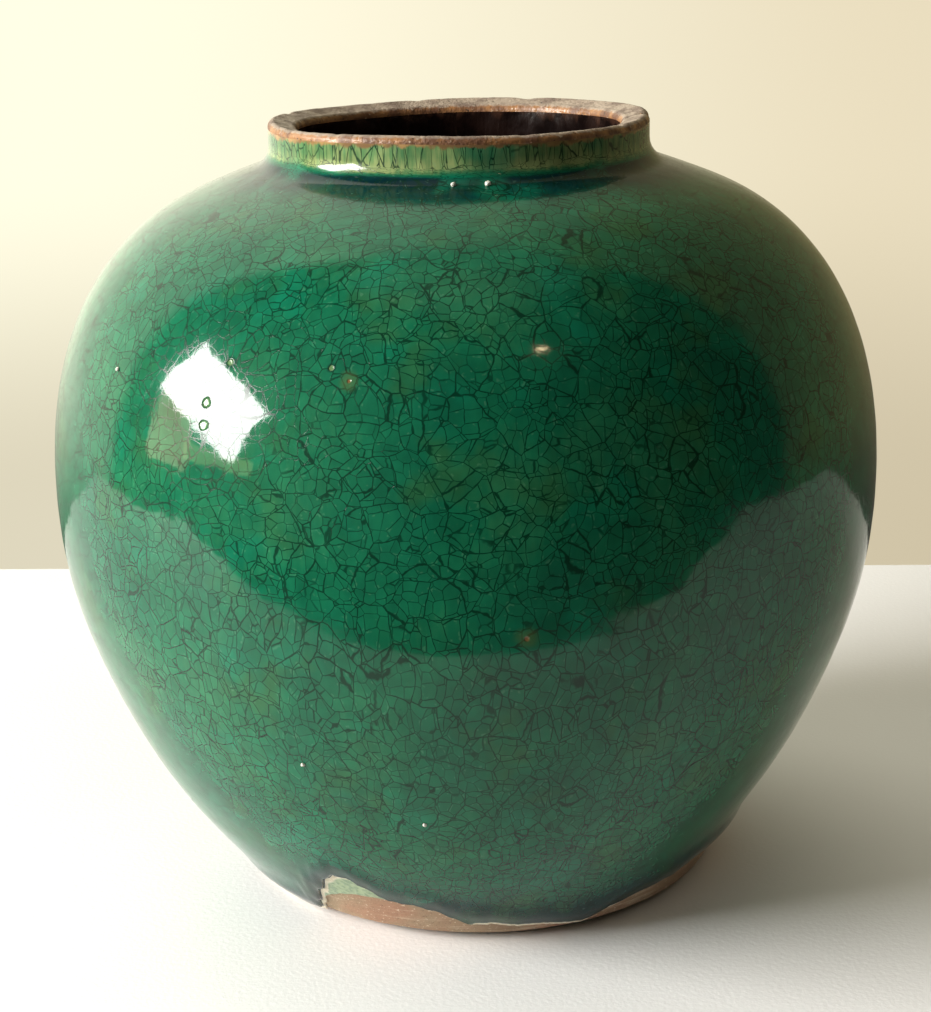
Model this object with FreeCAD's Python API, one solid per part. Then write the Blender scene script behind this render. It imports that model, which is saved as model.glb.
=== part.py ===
import FreeCAD, Part
import math
import os

# A squat, round-shouldered ginger jar in glazed stoneware, in millimetres.
# It stands on z = 0 with its axis on +Z. The front is -Y.
# The pot is thrown in two bowls and a collar, luted together with slip, then
# coated outside with white slip and green crackle glaze, and lined in brown.

# ---- driving dimensions -------------------------------------------------------
JAR_HEIGHT = 168.0
LIP_RADIUS = 40.6
MOUTH_RADIUS = 34.5

GLAZE_THICKNESS = 0.8
SLIP_THICKNESS = 0.3
LINING_THICKNESS = 0.6
COAT_DEPTH = GLAZE_THICKNESS + SLIP_THICKNESS

FOOT_RADIUS = 49.5            # outer edge of the ring that stands on the table
FOOT_RING_WIDTH = 8.0
FOOT_RECESS = 2.2             # how far the turned underside is cut in
FOOT_BEVEL_TOP = 2.4
RECESS_STEP = 1.5              # the recess wall slopes in by this much
FLOOR_TOP = 11.0              # lined floor inside

BELLY_SEAM_Z = 92.0           # the widest line, where the two bowls meet
NECK_SEAM_Z = 155.8           # where the collar sits on the shoulder
SEAM_THICKNESS = 0.8

GLAZE_LINE_Z = 6.0            # mean height of the glaze's lower edge
GLAZE_LINE_RISE = 3.6         # the edge climbs this much on its high side
GLAZE_LINE_HIGH_SIDE = -30.0  # degrees about +Z
SLIP_SHOWS_BELOW = 0.7        # white slip left showing under the glaze edge

GLAZE_TOP_Z = 166.4           # glaze stops here and the brown lip begins
LINING_TOP_Z = 165.2
LIP_ROUND = 1.3               # rounding of the lip's outer edge
LIP_DIP = 1.0                 # the lip's top slopes down this much towards the mouth
MOUTH_ROUND = 1.5             # rounding of the lip's mouth edge
WASH_THICKNESS = 0.55         # iron wash over the clay lip

CHIP_ANGLE = -106.0           # flake knocked out of the glaze at the foot
CHIP_HEIGHT = 11.0
CHIP_RADIUS = 8.5

# The shoulder leans in under the neck at this angle, and a round hollow joins them.
SHOULDER_SLOPE = 20.0
HOLLOW_SWEEP = 90.0 - SHOULDER_SLOPE
NECK_HOLLOW_RADIUS = 5.0
NECK_HOLLOW_Z = 162.6         # height of the hollow's centre
MOUTH_CURVE_RADIUS = 7.0      # the same turn inside, where the bore meets the shoulder
MOUTH_CURVE_Z = 159.5

# Outside of the fired body, from below the table line up the shoulder: radius, z.
OUTER_LINE = [
    (51.7, -2.0),
    (61.0, 12.6),
    (71.3, 28.5),
    (81.4, 49.5),
    (88.0, 70.5),
    (90.0, 92.0),
    (87.6, 114.0),
    (78.0, 136.0),
    (62.8, 150.0),
    (52.0, 154.9),
]

# Lined inside, from the edge of the flat floor up under the shoulder: radius, z.
INNER_LINE = [
    (36.0, FLOOR_TOP),
    (50.0, 15.5),
    (62.0, 27.5),
    (74.0, 48.5),
    (81.2, 70.5),
    (83.2, 92.0),
    (80.8, 112.5),
    (71.5, 132.5),
    (57.5, 145.2),
    (46.0, 150.3),
]

# Grains of kiln grit caught in the glaze: angle about +Z, z, grain radius.
GRIT = [
    (-91.8, 158.6, 0.55),
    (-82.7, 158.6, 0.70),
    (-143.6, 125.2, 0.45),
    (-113.5, 51.9, 0.45),
    (-97.2, 38.9, 0.45),
]
GRIT_DEPTH = 0.05             # grain centre, below the glaze surface

BEND = 1 - math.cos(math.radians(45))    # how far a quarter round's middle is cut in
WIDE = 250.0                  # reaches past the jar on every side


# ---- helpers ------------------------------------------------------------------
def spot(radius, z):
    return FreeCAD.Vector(radius, 0, z)


def on_hollow(centre, radius, degrees):
    """A point on the turn under the neck, this far down from level with its centre."""
    turn = math.radians(degrees)
    return spot(centre.x - radius * math.cos(turn), centre.z - radius * math.sin(turn))


def smooth(points, start, end):
    """A curve in the XZ plane through the points, with given end directions."""
    travelled = [0.0]
    for a, b in zip(points, points[1:]):
        travelled.append(travelled[-1] + (b - a).Length)
    curve = Part.BSplineCurve()
    curve.interpolate(
        Points=points,
        Parameters=travelled,
        InitialTangent=start,
        FinalTangent=end,
        Scale=False,
    )
    return curve


def offset_line(curve, depth, steps=32):
    """The same curve moved sideways: +depth is inwards on a curve that rises."""
    moved = []
    first = curve.FirstParameter
    last = curve.LastParameter
    for i in range(steps + 1):
        u = first + (last - first) * i / steps
        point = curve.value(u)
        along = curve.tangent(u)[0]
        moved.append(spot(point.x - along.z * depth, point.z + along.x * depth))
    return smooth(moved, curve.tangent(first)[0], curve.tangent(last)[0])


def height_param(curve, z):
    """The parameter at which a rising curve reaches z."""
    low = curve.FirstParameter
    high = curve.LastParameter
    for _ in range(60):
        middle = (low + high) / 2
        if curve.value(middle).z < z:
            low = middle
        else:
            high = middle
    return (low + high) / 2


def line(a, b):
    return Part.LineSegment(a, b).toShape()


def arc(a, middle, b):
    return Part.Arc(a, middle, b).toShape()


def rise(curve, centre, hollow_radius, depth, z_low, z_top):
    """The edges of one skin: up the body, round the hollow and up the neck.

    Returns the lowest point, the edges and the highest point.
    """
    radius = hollow_radius + depth
    turn_low = curve.value(curve.LastParameter)
    turn_middle = on_hollow(centre, radius, HOLLOW_SWEEP / 2)
    turn_high = on_hollow(centre, radius, 0)
    top = spot(turn_high.x, z_top)
    first = height_param(curve, z_low)
    edges = [
        curve.toShape(first, curve.LastParameter),
        arc(turn_low, turn_middle, turn_high),
        line(turn_high, top),
    ]
    return curve.value(first), edges, top


def turned(edges):
    """A solid of revolution about +Z from a closed half section."""
    wire = Part.Wire(Part.__sortEdges__(edges))
    face = Part.Face(wire)
    solid = face.revolve(FreeCAD.Vector(0, 0, 0), FreeCAD.Vector(0, 0, 1), 360)
    if solid.Volume < 0:
        solid.reverse()
    return solid


def slab(z_low, z_high):
    """Everything between two heights."""
    corner = FreeCAD.Vector(-WIDE, -WIDE, z_low)
    return Part.makeBox(2 * WIDE, 2 * WIDE, z_high - z_low, corner)


def under_glaze_line(drop):
    """Everything below the tilted line where a coat stops at the foot."""
    block = Part.makeBox(2 * WIDE, 2 * WIDE, WIDE, FreeCAD.Vector(-WIDE, -WIDE, -WIDE))
    tilt = math.degrees(math.atan2(GLAZE_LINE_RISE, FOOT_RADIUS + GLAZE_LINE_Z))
    side = math.radians(GLAZE_LINE_HIGH_SIDE)
    hinge = FreeCAD.Vector(math.sin(side), -math.cos(side), 0)
    block.rotate(FreeCAD.Vector(0, 0, 0), hinge, tilt)
    block.translate(FreeCAD.Vector(0, 0, GLAZE_LINE_Z - drop))
    return block


def at_angle(radius, z, degrees):
    turn = math.radians(degrees)
    return FreeCAD.Vector(radius * math.cos(turn), radius * math.sin(turn), z)


def chip_ball(radius):
    centre = glaze_skin.value(height_param(glaze_skin, CHIP_HEIGHT))
    return Part.makeSphere(radius, at_angle(centre.x, centre.z, CHIP_ANGLE))


def single(shape):
    """The one solid that a boolean leaves."""
    solids = sorted(shape.Solids, key=lambda s: s.Volume)
    return solids[-1]


# ---- the skins that the coats and the clay share ------------------------------
shoulder_turn = math.radians(SHOULDER_SLOPE)
shoulder_end = spot(-math.cos(shoulder_turn), math.sin(shoulder_turn))
foot_slope = spot(*OUTER_LINE[1]) - spot(*OUTER_LINE[0])
foot_slope.normalize()

neck_centre = spot(LIP_RADIUS + NECK_HOLLOW_RADIUS, NECK_HOLLOW_Z)
outer_points = [spot(*p) for p in OUTER_LINE]
outer_points.append(on_hollow(neck_centre, NECK_HOLLOW_RADIUS, HOLLOW_SWEEP))
glaze_skin = smooth(outer_points, foot_slope, shoulder_end)
slip_skin = offset_line(glaze_skin, GLAZE_THICKNESS)
clay_skin = offset_line(glaze_skin, COAT_DEPTH)

mouth_centre = spot(MOUTH_RADIUS + MOUTH_CURVE_RADIUS, MOUTH_CURVE_Z)
inner_points = [spot(*p) for p in INNER_LINE]
inner_points.append(on_hollow(mouth_centre, MOUTH_CURVE_RADIUS, HOLLOW_SWEEP))
lined_skin = smooth(inner_points, spot(1, 0), shoulder_end)
clay_inside = offset_line(lined_skin, -LINING_THICKNESS)


def outside(curve, depth, z_low):
    return rise(curve, neck_centre, NECK_HOLLOW_RADIUS, depth, z_low, GLAZE_TOP_Z)


def inside(curve, depth):
    floor = curve.value(curve.FirstParameter).z
    return rise(curve, mouth_centre, MOUTH_CURVE_RADIUS, depth, floor, LINING_TOP_Z)


# ---- the clay pot, before it is divided into its thrown sections --------------
clay_bevel, clay_wall, clay_lip_outside = outside(clay_skin, COAT_DEPTH, FOOT_BEVEL_TOP)
clay_floor_edge, clay_bowl, clay_lip_inside = inside(clay_inside, -LINING_THICKNESS)

foot_inner_radius = FOOT_RADIUS - FOOT_RING_WIDTH
recess_radius = foot_inner_radius - RECESS_STEP

clay_round = LIP_ROUND - WASH_THICKNESS
clay_top = JAR_HEIGHT - WASH_THICKNESS
clay_lip_shoulder = spot(clay_lip_outside.x, clay_top - clay_round)
clay_lip_bend = spot(clay_lip_outside.x - BEND * clay_round, clay_top - BEND * clay_round)
clay_lip_crown = spot(clay_lip_outside.x - clay_round, clay_top)
clay_lip_slope = spot(clay_lip_inside.x + 1.0, clay_top - LIP_DIP)
clay_lip_inner_bend = spot(clay_lip_inside.x + BEND, clay_top - LIP_DIP - BEND)
clay_lip_edges = [
    line(clay_lip_outside, clay_lip_shoulder),
    arc(clay_lip_shoulder, clay_lip_bend, clay_lip_crown),
    line(clay_lip_crown, clay_lip_slope),
    arc(clay_lip_slope, clay_lip_inner_bend, clay_lip_inside),
]

clay_pot = turned([
    line(spot(0, FOOT_RECESS), spot(recess_radius, FOOT_RECESS)),
    line(spot(recess_radius, FOOT_RECESS), spot(foot_inner_radius, 0)),
    line(spot(foot_inner_radius, 0), spot(FOOT_RADIUS, 0)),
    line(spot(FOOT_RADIUS, 0), clay_bevel),
    *clay_wall,
    *clay_lip_edges,
    *clay_bowl,
    line(clay_floor_edge, spot(0, clay_floor_edge.z)),
    line(spot(0, clay_floor_edge.z), spot(0, FOOT_RECESS)),
])

half_seam = SEAM_THICKNESS / 2
belly_low = BELLY_SEAM_Z - half_seam
belly_high = BELLY_SEAM_Z + half_seam
neck_low = NECK_SEAM_Z - half_seam
neck_high = NECK_SEAM_Z + half_seam

# ---- lower body: the bowl with the floor and the turned foot ------------------
lower_body = single(clay_pot.common(slab(-1, belly_low)))

# ---- belly seam: the ring of slip that lutes the two bowls --------------------
belly_seam = single(clay_pot.common(slab(belly_low, belly_high)))

# ---- upper body: the upturned bowl that makes the shoulder --------------------
upper_body = single(clay_pot.common(slab(belly_high, neck_low)))

# ---- neck seam: the ring of slip under the collar -----------------------------
neck_seam = single(clay_pot.common(slab(neck_low, neck_high)))

# ---- neck collar: the short upright neck with its rounded lip -----------------
neck_collar = single(clay_pot.common(slab(neck_high, JAR_HEIGHT + 1)))

# ---- slip coat: thin white layer under the glaze, showing as a pale edge ------
slip_low, slip_face, slip_top = outside(slip_skin, GLAZE_THICKNESS, 0)
backing_low, slip_back, _ = outside(clay_skin, COAT_DEPTH, 0)
slip_coat = turned([
    line(backing_low, slip_low),
    *slip_face,
    line(slip_top, clay_lip_outside),
    *slip_back,
])
slip_coat = slip_coat.cut(under_glaze_line(SLIP_SHOWS_BELOW))
slip_coat = single(slip_coat.cut(chip_ball(CHIP_RADIUS - SLIP_SHOWS_BELOW)))

# ---- grit specks: grains half sunk in the glaze -------------------------------
grains = []
for angle, z, radius in GRIT:
    u = height_param(glaze_skin, z)
    point = glaze_skin.value(u)
    along = glaze_skin.tangent(u)[0]
    centre = spot(point.x - along.z * GRIT_DEPTH, point.z + along.x * GRIT_DEPTH)
    grains.append(Part.makeSphere(radius, at_angle(centre.x, centre.z, angle)))
grit_specks = Part.makeCompound(grains)

# ---- outer glaze: the green crackle coat, from the foot up to the lip ---------
glaze_low, glaze_face, glaze_top = outside(glaze_skin, 0, 0)
outer_glaze = turned([
    line(slip_low, glaze_low),
    *glaze_face,
    line(glaze_top, slip_top),
    *slip_face,
])
outer_glaze = outer_glaze.cut(under_glaze_line(0))
outer_glaze = outer_glaze.cut(chip_ball(CHIP_RADIUS))
outer_glaze = single(outer_glaze.cut(grit_specks))

# ---- inner glaze: the brown lining, one coat over floor, wall and mouth -------
floor_edge, lining_face, lining_top = inside(lined_skin, 0)
inner_glaze = turned([
    line(spot(0, floor_edge.z), floor_edge),
    *lining_face,
    line(lining_top, clay_lip_inside),
    *clay_bowl,
    line(clay_floor_edge, spot(0, clay_floor_edge.z)),
    line(spot(0, clay_floor_edge.z), spot(0, floor_edge.z)),
])

# ---- lip wash: brown iron band over the rounded lip ---------------------------
wash_shoulder = spot(LIP_RADIUS, JAR_HEIGHT - LIP_ROUND)
wash_bend = spot(LIP_RADIUS - BEND * LIP_ROUND, JAR_HEIGHT - BEND * LIP_ROUND)
wash_crown = spot(LIP_RADIUS - LIP_ROUND, JAR_HEIGHT)
wash_slope = spot(MOUTH_RADIUS + MOUTH_ROUND, JAR_HEIGHT - LIP_DIP)
wash_inner_bend = spot(MOUTH_RADIUS + BEND * MOUTH_ROUND, JAR_HEIGHT - LIP_DIP - BEND * MOUTH_ROUND)
lip_wash = turned([
    line(clay_lip_outside, glaze_top),
    line(glaze_top, wash_shoulder),
    arc(wash_shoulder, wash_bend, wash_crown),
    line(wash_crown, wash_slope),
    arc(wash_slope, wash_inner_bend, lining_top),
    line(lining_top, clay_lip_inside),
    *clay_lip_edges,
])

# ---- write each piece ---------------------------------------------------------
PIECES = {
    "lower_body": lower_body,
    "belly_seam": belly_seam,
    "upper_body": upper_body,
    "neck_seam": neck_seam,
    "neck_collar": neck_collar,
    "slip_coat": slip_coat,
    "outer_glaze": outer_glaze,
    "inner_glaze": inner_glaze,
    "lip_wash": lip_wash,
    "grit_specks": grit_specks,
}
os.makedirs("parts", exist_ok=True)
for name, shape in PIECES.items():
    shape.exportStep(os.path.join("parts", name + ".step"))
    print(name, "volume", round(shape.Volume, 1), "mm3", "valid", shape.isValid())
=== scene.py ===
import math

import bmesh
import bpy
import numpy as np
from mathutils import Matrix, Quaternion, Vector, noise


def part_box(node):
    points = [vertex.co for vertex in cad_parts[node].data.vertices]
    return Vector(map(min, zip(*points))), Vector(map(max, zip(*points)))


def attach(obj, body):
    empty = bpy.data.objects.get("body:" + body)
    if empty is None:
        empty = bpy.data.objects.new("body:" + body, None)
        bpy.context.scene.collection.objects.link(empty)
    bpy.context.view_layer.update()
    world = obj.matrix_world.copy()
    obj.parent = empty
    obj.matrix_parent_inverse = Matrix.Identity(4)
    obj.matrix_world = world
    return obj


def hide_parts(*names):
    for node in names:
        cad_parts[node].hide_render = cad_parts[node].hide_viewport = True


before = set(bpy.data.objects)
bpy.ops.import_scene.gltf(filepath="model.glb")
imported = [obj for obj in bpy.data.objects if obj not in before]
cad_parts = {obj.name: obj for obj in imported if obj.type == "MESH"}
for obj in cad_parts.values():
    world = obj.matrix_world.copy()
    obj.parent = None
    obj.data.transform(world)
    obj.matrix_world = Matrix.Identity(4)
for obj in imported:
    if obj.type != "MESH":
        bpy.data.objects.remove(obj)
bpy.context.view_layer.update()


# ---- Lower body: the thrown bowl with its turned foot -------------------------
# Buff, gritty stoneware thrown on the wheel, then turned underneath when leather hard.
# The glaze stops short of the table, so the foot ring and its bevel stay bare clay.
# The first line below is the glaze face, 1.1 mm outside the clay (radius, height).
BODY_LINE = [
    (0.0517, -0.0020),
    (0.0610, 0.0126),
    (0.0713, 0.0285),
    (0.0814, 0.0495),
    (0.0880, 0.0705),
    (0.0900, 0.0920),
    (0.0876, 0.1140),
    (0.0780, 0.1360),
    (0.0628, 0.1500),
    (0.0520, 0.1549),
]
BOWL_LINE = [
    (0.0360, 0.0110),
    (0.0500, 0.0155),
    (0.0620, 0.0275),
    (0.0740, 0.0485),
    (0.0812, 0.0705),
    (0.0832, 0.0920),
    (0.0808, 0.1125),
    (0.0715, 0.1325),
    (0.0575, 0.1452),
    (0.0460, 0.1503),
]
SHOULDER_SLOPE = math.radians(20)
LIP_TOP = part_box("lip_wash")[1].z
GLAZE_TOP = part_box("outer_glaze")[1].z
LINING_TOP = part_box("inner_glaze")[1].z
LIP_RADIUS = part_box("lip_wash")[1].x
MOUTH_RADIUS = 0.0345
GLAZE_THICKNESS = 0.0008
COAT_DEPTH = 0.0011
LINING_THICKNESS = 0.0006
FOOT_OFF_CENTRE = (0.0028, 0.0012)
FOOT_BLENDS_BY = 0.024
SIDES = 448
turns = np.linspace(-math.pi, math.pi, SIDES, endpoint=False)


def smooth_line(points, start, end, spacing=0.00025):
    """The line a rib leaves as it follows these places, leaving and arriving in set directions."""
    places = np.array(points, float)
    gaps = np.linalg.norm(np.diff(places, axis=0), axis=1)
    count = len(places)
    system = np.eye(count)
    wanted = np.zeros((count, 2))
    wanted[0] = start
    wanted[-1] = end
    for i in range(1, count - 1):
        before = gaps[i - 1]
        after = gaps[i]
        system[i, i - 1:i + 2] = (after, 2 * (before + after), before)
        step_in = (places[i] - places[i - 1]) / before
        step_out = (places[i + 1] - places[i]) / after
        wanted[i] = 3 * (after * step_in + before * step_out)
    slopes = np.linalg.solve(system, wanted)
    stretches = []
    for i, gap in enumerate(gaps):
        u = np.linspace(0, 1, max(2, int(gap / spacing)), endpoint=False)[:, None]
        stretches.append(
            (2 * u**3 - 3 * u**2 + 1) * places[i]
            + (u**3 - 2 * u**2 + u) * gap * slopes[i]
            + (3 * u**2 - 2 * u**3) * places[i + 1]
            + (u**3 - u**2) * gap * slopes[i + 1]
        )
    stretches.append(places[-1:])
    return np.concatenate(stretches)


def rising_skin(points, start, neck_radius, hollow_radius, hollow_height, top):
    """The whole line of one skin: up the wall, round the hollow under the neck, up the neck."""
    turn = np.linspace(math.pi / 2 - SHOULDER_SLOPE, 0, 24)
    hollow = np.stack([
        neck_radius + hollow_radius * (1 - np.cos(turn)),
        hollow_height - hollow_radius * np.sin(turn),
    ], -1)
    end = (-math.cos(SHOULDER_SLOPE), math.sin(SHOULDER_SLOPE))
    wall = smooth_line(points + [tuple(hollow[0])], start, end)
    neck_heights = np.linspace(hollow_height, top, 12)[1:]
    neck = np.stack([np.full_like(neck_heights, neck_radius), neck_heights], -1)
    return np.concatenate([wall[:-1], hollow, neck])


def under(line, depth):
    """The same line moved into the wall by depth."""
    along = np.gradient(line, axis=0)
    along /= np.linalg.norm(along, axis=1)[:, None]
    return line + depth * np.stack([-along[:, 1], along[:, 0]], -1)


def lengths(line):
    """How far along a line each of its places lies."""
    return np.concatenate([[0], np.cumsum(np.linalg.norm(np.diff(line, axis=0), axis=1))])


def along_line(line, run):
    """Places on a line at these distances from its start."""
    travelled = lengths(line)
    return np.stack([np.interp(run, travelled, line[:, k]) for k in (0, 1)], -1)


def run_at_height(line, height):
    """How far along a rising line it reaches this height."""
    return np.interp(height, np.maximum.accumulate(line[:, 1]), lengths(line))


def part_of(line, low, high, rows):
    """Evenly spaced places on a line between two heights."""
    run = np.linspace(run_at_height(line, low), run_at_height(line, high), rows)
    return along_line(line, run)


# The lip rises and falls round the mouth, as it was left by the fingers (degrees, metres down).
LIP_FALL = [
    (-150, 0.00062),
    (-110, 0.00028),
    (-65, 0.00072),
    (-30, 0.00078),
    (8, 0.00003),
    (45, 0.00035),
    (80, 0.00050),
    (125, 0.00085),
    (178, 0.00022),
]


def round_the_jar(places, degrees):
    """A value given at a few angles, eased between them all the way round."""
    angles = np.array([p[0] for p in places], float)
    values = np.array([p[1] for p in places], float)
    angles = np.concatenate([angles[-1:] - 360, angles, angles[:1] + 360])
    values = np.concatenate([values[-1:], values, values[:1]])
    spot = np.clip(np.searchsorted(angles, degrees, side="right") - 1, 0, len(angles) - 2)
    share = (degrees - angles[spot]) / (angles[spot + 1] - angles[spot])
    ease = share * share * (3 - 2 * share)
    return values[spot] + ease * (values[spot + 1] - values[spot])


def hand_made(turn, radius, height):
    """The small swells of a hand-thrown pot, the same through clay and coats."""
    swell = (
        0.46 * np.sin(2 * turn + 0.6 + 9 * height)
        + 0.30 * np.sin(3 * turn - 1.1 + 21 * height)
        + 0.16 * np.sin(5 * turn + 2.0 - 33 * height)
        + 0.08 * np.sin(2 * math.pi * height / 0.0083 + turn)
    )
    standing = np.clip(height / 0.02, 0, 1)
    radius = radius - 0.00034 * standing * np.clip(radius / 0.03, 0, 1) * (0.5 - 0.5 * swell)
    near_lip = np.clip((height - 0.157) / 0.008, 0, 1) ** 2
    fall = round_the_jar(LIP_FALL, np.degrees(turn))
    return radius, height - near_lip * fall


def turned(name, rows, capped=False):
    """A piece turned round the jar's axis from its half section, given once or for every angle.

    A capped section starts and ends on the axis; any other closes on itself. The foot was
    trimmed a little off centre, which draws the lowest wall with it.
    """
    rows = np.broadcast_to(rows, (SIDES,) + rows.shape[-2:])
    turn = turns[:, None]
    radius, height = hand_made(turn, rows[..., 0], rows[..., 1])
    places = np.stack([radius * np.cos(turn), radius * np.sin(turn), height], -1)
    near_foot = (1 - np.clip(height / FOOT_BLENDS_BY, 0, 1)) ** 2
    places[..., 0] += FOOT_OFF_CENTRE[0] * near_foot
    places[..., 1] += FOOT_OFF_CENTRE[1] * near_foot
    count = rows.shape[1]
    side = np.arange(SIDES)[:, None]
    next_side = (side + 1) % SIDES
    if capped:
        row = np.arange(1, count - 2)[None, :]
        next_row = row + 1
    else:
        row = np.arange(count)[None, :]
        next_row = (row + 1) % count
    corners = [
        side * count + row,
        next_side * count + row,
        next_side * count + next_row,
        side * count + next_row,
    ]
    quads = np.stack(corners, -1).reshape(-1, 4).tolist()
    if capped:
        for i in range(SIDES):
            beside = (i + 1) % SIDES
            quads.append([0, beside * count + 1, i * count + 1])
            quads.append([count - 1, i * count + count - 2, beside * count + count - 2])
    mesh = bpy.data.meshes.new(name)
    mesh.from_pydata(places.reshape(-1, 3).tolist(), [], quads)
    if capped:
        tidy = bmesh.new()
        tidy.from_mesh(mesh)
        loose = [v for v in tidy.verts if not v.link_faces]
        bmesh.ops.delete(tidy, geom=loose, context="VERTS")
        tidy.to_mesh(mesh)
        tidy.free()
    mesh.shade_smooth()
    mesh.set_sharp_from_angle(angle=math.radians(50))
    piece = bpy.data.objects.new(name, mesh)
    bpy.context.scene.collection.objects.link(piece)
    return piece


def rough_clay(rows, height_limit, inner_limit, depth):
    """Rows pushed in by grains and drag marks on the bare clay near the foot."""
    rows = np.array(np.broadcast_to(rows, (SIDES,) + rows.shape[-2:]))
    for i, turn in enumerate(turns):
        for j in np.nonzero((rows[i, :, 1] < height_limit) & (rows[i, :, 0] > inner_limit))[0]:
            radius, height = rows[i, j]
            place = Vector((radius * math.cos(turn), radius * math.sin(turn), height * 2.2))
            rows[i, j, 0] = radius - depth * (0.5 + 0.5 * noise.fractal(place * 420, 0.9, 2.1, 4))
    return rows


foot_slope = np.array(BODY_LINE[1]) - np.array(BODY_LINE[0])
foot_slope /= np.linalg.norm(foot_slope)
glaze_face = rising_skin(
    BODY_LINE,
    foot_slope,
    neck_radius=LIP_RADIUS,
    hollow_radius=0.005,
    hollow_height=0.1626,
    top=GLAZE_TOP,
)
slip_face = under(glaze_face, GLAZE_THICKNESS)
clay_face = under(glaze_face, COAT_DEPTH)
lining_face = rising_skin(
    BOWL_LINE,
    (1, 0),
    neck_radius=MOUTH_RADIUS,
    hollow_radius=0.007,
    hollow_height=0.1595,
    top=LINING_TOP,
)
clay_bowl = under(lining_face, -LINING_THICKNESS)

FOOT_RADIUS = 0.0495
RING_INNER_RADIUS = 0.0415
RECESS = 0.0022
RECESS_RADIUS = 0.040
TURNING_MARK_DEPTH = 0.00007
TURNING_MARK_SPACING = 0.0021
ROUGH_UP_TO = 0.024
ROUGH_OUT_FROM = 0.046
ROUGH_DEPTH = 0.00022
BELLY_SEAM_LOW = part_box("belly_seam")[0].z

recess_radii = np.linspace(0, RECESS_RADIUS, 90)
turning_marks = TURNING_MARK_DEPTH * np.sin(recess_radii * 2 * math.pi / TURNING_MARK_SPACING)
recess = np.stack([recess_radii, RECESS + turning_marks * np.clip(recess_radii / 0.004, 0, 1)], -1)
ring = np.array([
    (RING_INNER_RADIUS - 0.0002, 0.0002),
    (RING_INNER_RADIUS + 0.0003, 0),
    (FOOT_RADIUS - 0.0004, 0),
    (FOOT_RADIUS, 0.0001),
    (FOOT_RADIUS + 0.0018, 0.0012),
])
bowl_rise = part_of(clay_bowl, clay_bowl[0, 1], BELLY_SEAM_LOW, 40)[::-1]
lower_rows = np.concatenate([
    recess,
    ring,
    part_of(clay_face, 0.0024, 0.026, 60),
    part_of(clay_face, 0.027, BELLY_SEAM_LOW, 30),
    bowl_rise,
    [(0, bowl_rise[-1, 1])],
])
rough_rows = rough_clay(lower_rows, ROUGH_UP_TO, ROUGH_OUT_FROM, ROUGH_DEPTH)
lower_body = turned("lower_body_clay", rough_rows, capped=True)


def recipe(name):
    """An empty material to mix from nodes."""
    material = bpy.data.materials.new(name)
    material.use_nodes = True
    material.node_tree.nodes.clear()
    return material


def stir(mix, kind, settings=None, **sockets):
    """Adds one node. A socket takes a number, a colour or another node's output."""
    node = mix.node_tree.nodes.new("ShaderNode" + kind)
    for key, value in (settings or {}).items():
        setattr(node, key, value)
    for key, value in sockets.items():
        name = key.replace("_", " ")
        numbered = name[0] == "i" and name[1:].isdigit()
        socket = node.inputs[int(name[1:])] if numbered else node.inputs[name]
        if isinstance(value, bpy.types.NodeSocket):
            mix.node_tree.links.new(value, socket)
        else:
            socket.default_value = value
    return node


def sums(mix, operation, *values):
    """A number worked out from others."""
    sockets = {f"i{k}": value for k, value in enumerate(values)}
    return stir(mix, "Math", {"operation": operation}, **sockets).outputs[0]


def fade(mix, value, low, high, at_low=0.0, at_high=1.0):
    """Runs smoothly from at_low to at_high as the value goes from low to high."""
    node = stir(mix, "MapRange", {"interpolation_type": "SMOOTHSTEP"}, i0=value, i1=low, i2=high,
                i3=at_low, i4=at_high)
    return node.outputs[0]


def blended(mix, share, first, second, kind="MIX"):
    """One colour over another."""
    node = stir(mix, "Mix", {"data_type": "RGBA", "blend_type": kind}, i0=share, i6=first, i7=second)
    return node.outputs[2]


def grain(mix, place, scale, detail=2.0):
    """An even random cloud from 0 to 1."""
    return stir(mix, "TexNoise", Vector=place, Scale=scale, Detail=detail).outputs[0]


def drawn_out(mix, place, scales):
    """A place stretched or squeezed along each axis, for marks that run one way."""
    return stir(mix, "VectorMath", {"operation": "MULTIPLY"}, i0=place, i1=scales).outputs[0]


def fired(mix, colour, roughness, height, relief, **constants):
    """The finished surface: colour, gloss and a fine relief in metres."""
    bump = stir(mix, "Bump", Height=height, Distance=relief)
    surface = stir(mix, "BsdfPrincipled", **constants)
    for name, value in {"Base Color": colour, "Roughness": roughness}.items():
        if isinstance(value, bpy.types.NodeSocket):
            mix.node_tree.links.new(value, surface.inputs[name])
        else:
            surface.inputs[name].default_value = value
    mix.node_tree.links.new(bump.outputs[0], surface.inputs["Normal"])
    stir(mix, "OutputMaterial", Surface=surface.outputs[0])


bare_clay = recipe("bare_buff_clay")
place = stir(bare_clay, "TexCoord").outputs["Object"]
patches = grain(bare_clay, place, 70, 3)
specks = grain(bare_clay, place, 1500, 2)
turned_place = drawn_out(bare_clay, place, (60, 60, 1100))
drag = grain(bare_clay, turned_place, 1.0, 4)
pinkish = (0.35, 0.19, 0.12, 1)
buff = (0.32, 0.235, 0.15, 1)
clay_colour = blended(bare_clay, fade(bare_clay, patches, 0.35, 0.65), pinkish, buff)
pale_drag = fade(bare_clay, drag, 0.52, 0.68, 0, 0.55)
clay_colour = blended(bare_clay, pale_drag, clay_colour, (0.56, 0.43, 0.31, 1))
pale_specks = fade(bare_clay, specks, 0.63, 0.7, 0, 0.7)
clay_colour = blended(bare_clay, pale_specks, clay_colour, (0.70, 0.60, 0.46, 1))
dark_specks = fade(bare_clay, specks, 0.36, 0.3, 0, 0.6)
clay_colour = blended(bare_clay, dark_specks, clay_colour, (0.13, 0.07, 0.04, 1))
dark_patches = fade(bare_clay, grain(bare_clay, place, 35, 2), 0.5, 0.7, 0, 0.55)
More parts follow.
